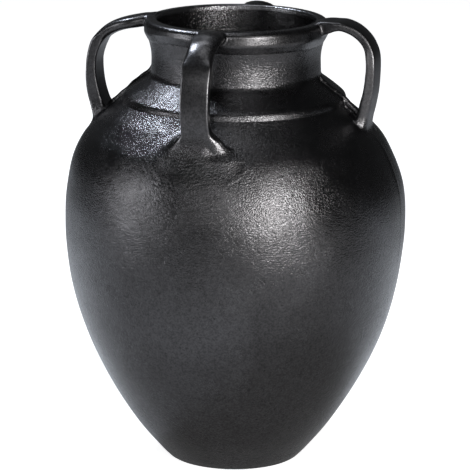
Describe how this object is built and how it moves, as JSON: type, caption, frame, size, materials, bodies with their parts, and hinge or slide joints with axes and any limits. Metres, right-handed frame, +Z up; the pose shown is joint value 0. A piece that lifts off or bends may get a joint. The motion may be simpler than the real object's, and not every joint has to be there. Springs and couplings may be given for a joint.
{
  "type": "decorative floor vase",
  "caption": "Cast metal amphora-style floor vase: egg-shaped body, stepped shoulder, short waisted neck, rolled rim and strap handles from rim to shoulder.",
  "frame": {"origin": "on the floor under the middle of the foot", "axes": "+Z up through the mouth; the side handles stand on the X axis and the front handle points to -Y"},
  "size_m": [0.3684, 0.3682, 0.4857],
  "materials": {
    "cast_black": "black patina over fine sand-cast grain, satin",
    "ground_black": "black patina over ground metal, smoother satin",
    "plate_black": "black patina, flat plate",
    "felt": "pressed wool felt, dark grey"
  },
  "bodies": {
    "root": {"front_shell": "cast_black", "back_shell": "cast_black", "neck": "cast_black", "seam_beads": "cast_black", "rim_collar": "ground_black", "handle_front": "ground_black", "handle_right": "ground_black", "handle_back": "ground_black", "handle_left": "ground_black", "base_plate": "plate_black", "felt_pads": "felt"}
  },
  "joints": []
}
